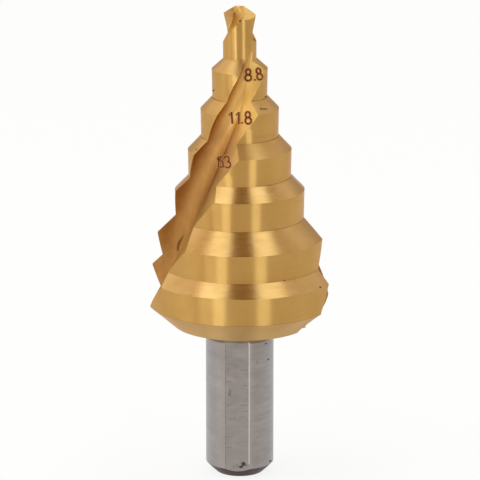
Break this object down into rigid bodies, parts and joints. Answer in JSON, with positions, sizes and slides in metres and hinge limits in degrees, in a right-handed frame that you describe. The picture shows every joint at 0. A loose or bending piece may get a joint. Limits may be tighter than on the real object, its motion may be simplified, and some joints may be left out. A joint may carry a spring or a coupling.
{
  "type": "step drill",
  "caption": "Stepped conical drill with spiral flutes and relief-ground lands, on a round shank with flats for a chuck.",
  "frame": {"origin": "centre of the shank's end face, where the drill stands", "axes": "+Z along the axis from the shank to the tip, -Y towards the side that shows the numbers"},
  "size_m": [0.0262, 0.0278, 0.0703],
  "materials": {
    "tool_steel": "ground high-speed steel; the head has a gold titanium nitride coating, the shank is bare"
  },
  "bodies": {
    "root": {"step_drill": "tool_steel"}
  },
  "joints": []
}
